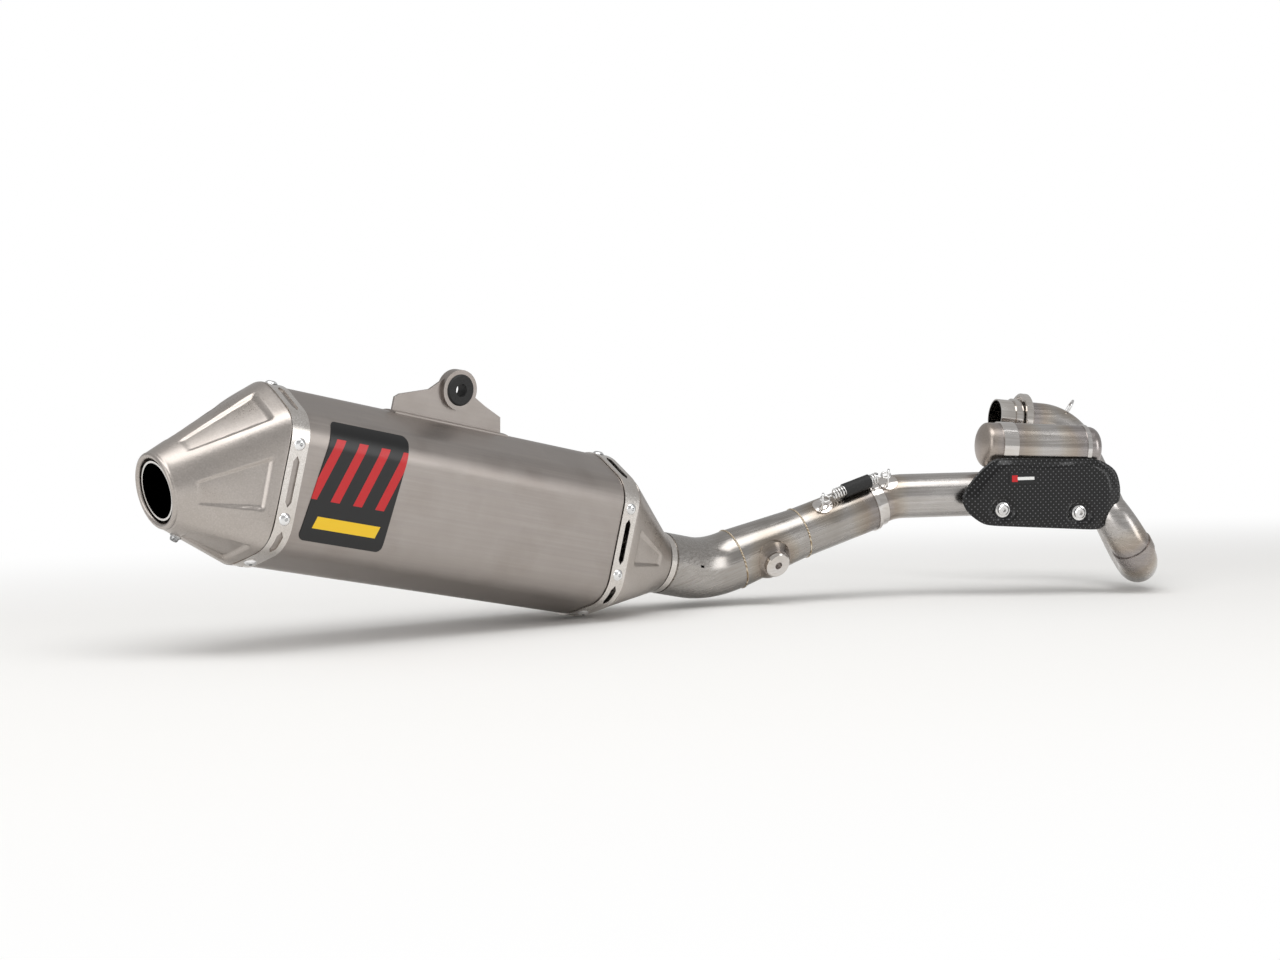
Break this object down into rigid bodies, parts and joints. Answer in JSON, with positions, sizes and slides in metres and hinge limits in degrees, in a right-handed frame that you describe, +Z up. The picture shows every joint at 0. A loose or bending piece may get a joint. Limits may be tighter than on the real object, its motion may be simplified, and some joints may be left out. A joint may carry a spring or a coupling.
{
  "type": "racing exhaust system",
  "caption": "Full exhaust for an off-road bike: header with U-bend and resonator, link pipe and six-sided silencer with hanger and removable insert.",
  "frame": {"origin": "centre of the header's open mouth, where it seats in the exhaust port", "axes": "+X forward on the bike, +Y to its left, +Z up; the row is longest along X"},
  "size_m": [0.9881, 0.1968, 0.2069],
  "materials": {
    "tube_titanium": "satin, long fine draw lines",
    "sleeve_titanium": "satin, brushed along its length",
    "blasted_titanium": "bead blasted",
    "turned_titanium": "turned bright",
    "weld": "welded, straw tint",
    "bright_steel": "polished",
    "rivet_aluminium": "bright",
    "dark_steel": "blackened",
    "carbon": "clear-coated plain weave",
    "rubber": "matt",
    "badge_black": "printed foil",
    "packing_fibre": "loose fibre"
  },
  "bodies": {
    "header": {"inlet_spigot": "turned_titanium", "inlet_bend": "tube_titanium", "u_bend": "tube_titanium", "joint_ring": "turned_titanium", "near_bend": "tube_titanium", "header_reducer": "tube_titanium", "rear_tube": "tube_titanium", "slip_sleeve": "turned_titanium", "header_weld_beads": "weld", "engine_spring_loop": "bright_steel", "header_spring_loop": "bright_steel", "header_loop_pad": "turned_titanium", "chamber_body": "tube_titanium", "chamber_dome_cap": "blasted_titanium", "chamber_cap_ring": "turned_titanium", "chamber_end_ring": "turned_titanium", "chamber_end_cap": "tube_titanium", "chamber_neck": "tube_titanium", "heat_shield": "carbon", "shield_posts": "turned_titanium", "shield_screws": "bright_steel", "shield_badge": "badge_black"},
    "mouth_ring": {"inlet_flange_ring": "turned_titanium"},
    "link_pipe": {"link_elbow": "tube_titanium", "link_tube": "tube_titanium", "link_weld_beads": "weld", "slip_rim": "turned_titanium", "boss_saddle": "tube_titanium", "mount_boss": "turned_titanium", "link_spring_loop": "bright_steel", "link_loop_pad": "turned_titanium", "spring": "bright_steel", "spring_sleeve": "rubber"},
    "silencer": {"sleeve": "sleeve_titanium", "outlet_cap": "blasted_titanium", "outlet_seat": "blasted_titanium", "outlet_lip": "turned_titanium", "outlet_band": "turned_titanium", "outlet_rivets": "rivet_aluminium", "inlet_cap": "blasted_titanium", "silencer_spigot": "turned_titanium", "inlet_band": "turned_titanium", "inlet_rivets": "rivet_aluminium", "perforated_core": "bright_steel", "core_plate_rear": "bright_steel", "core_plate_front": "bright_steel", "packing": "packing_fibre", "bracket_plate": "turned_titanium", "bracket_foot": "turned_titanium", "grommet_ring": "turned_titanium", "grommet": "rubber", "badge_panel": "badge_black", "insert_screw": "dark_steel"},
    "insert": {"noise_insert": "turned_titanium"}
  },
  "joints": [
    {"name": "ring_spin", "type": "hinge", "parent": "header", "child": "mouth_ring", "pos_m": [0.02225, -0.0069, -0.00219], "axis": [0.951, -0.2947, -0.0938], "continuous": true},
    {"name": "link_slip", "type": "slide", "parent": "header", "child": "link_pipe", "axis": [-0.9415, 0.1306, -0.3107], "range_m": [0, 0.006], "stiffness_N_per_m": 6000, "springref_m": -0.008, "deforming": ["spring"]},
    {"name": "silencer_turn", "type": "hinge", "parent": "link_pipe", "child": "silencer", "pos_m": [-0.34853, -0.03039, -0.12989], "axis": [0.9626, 0.1958, -0.1874], "range_deg": [-6, 6]},
    {"name": "insert_slide", "type": "slide", "parent": "silencer", "child": "insert", "axis": [-0.9675, -0.1635, -0.1928], "range_m": [0, 0.04]}
  ]
}
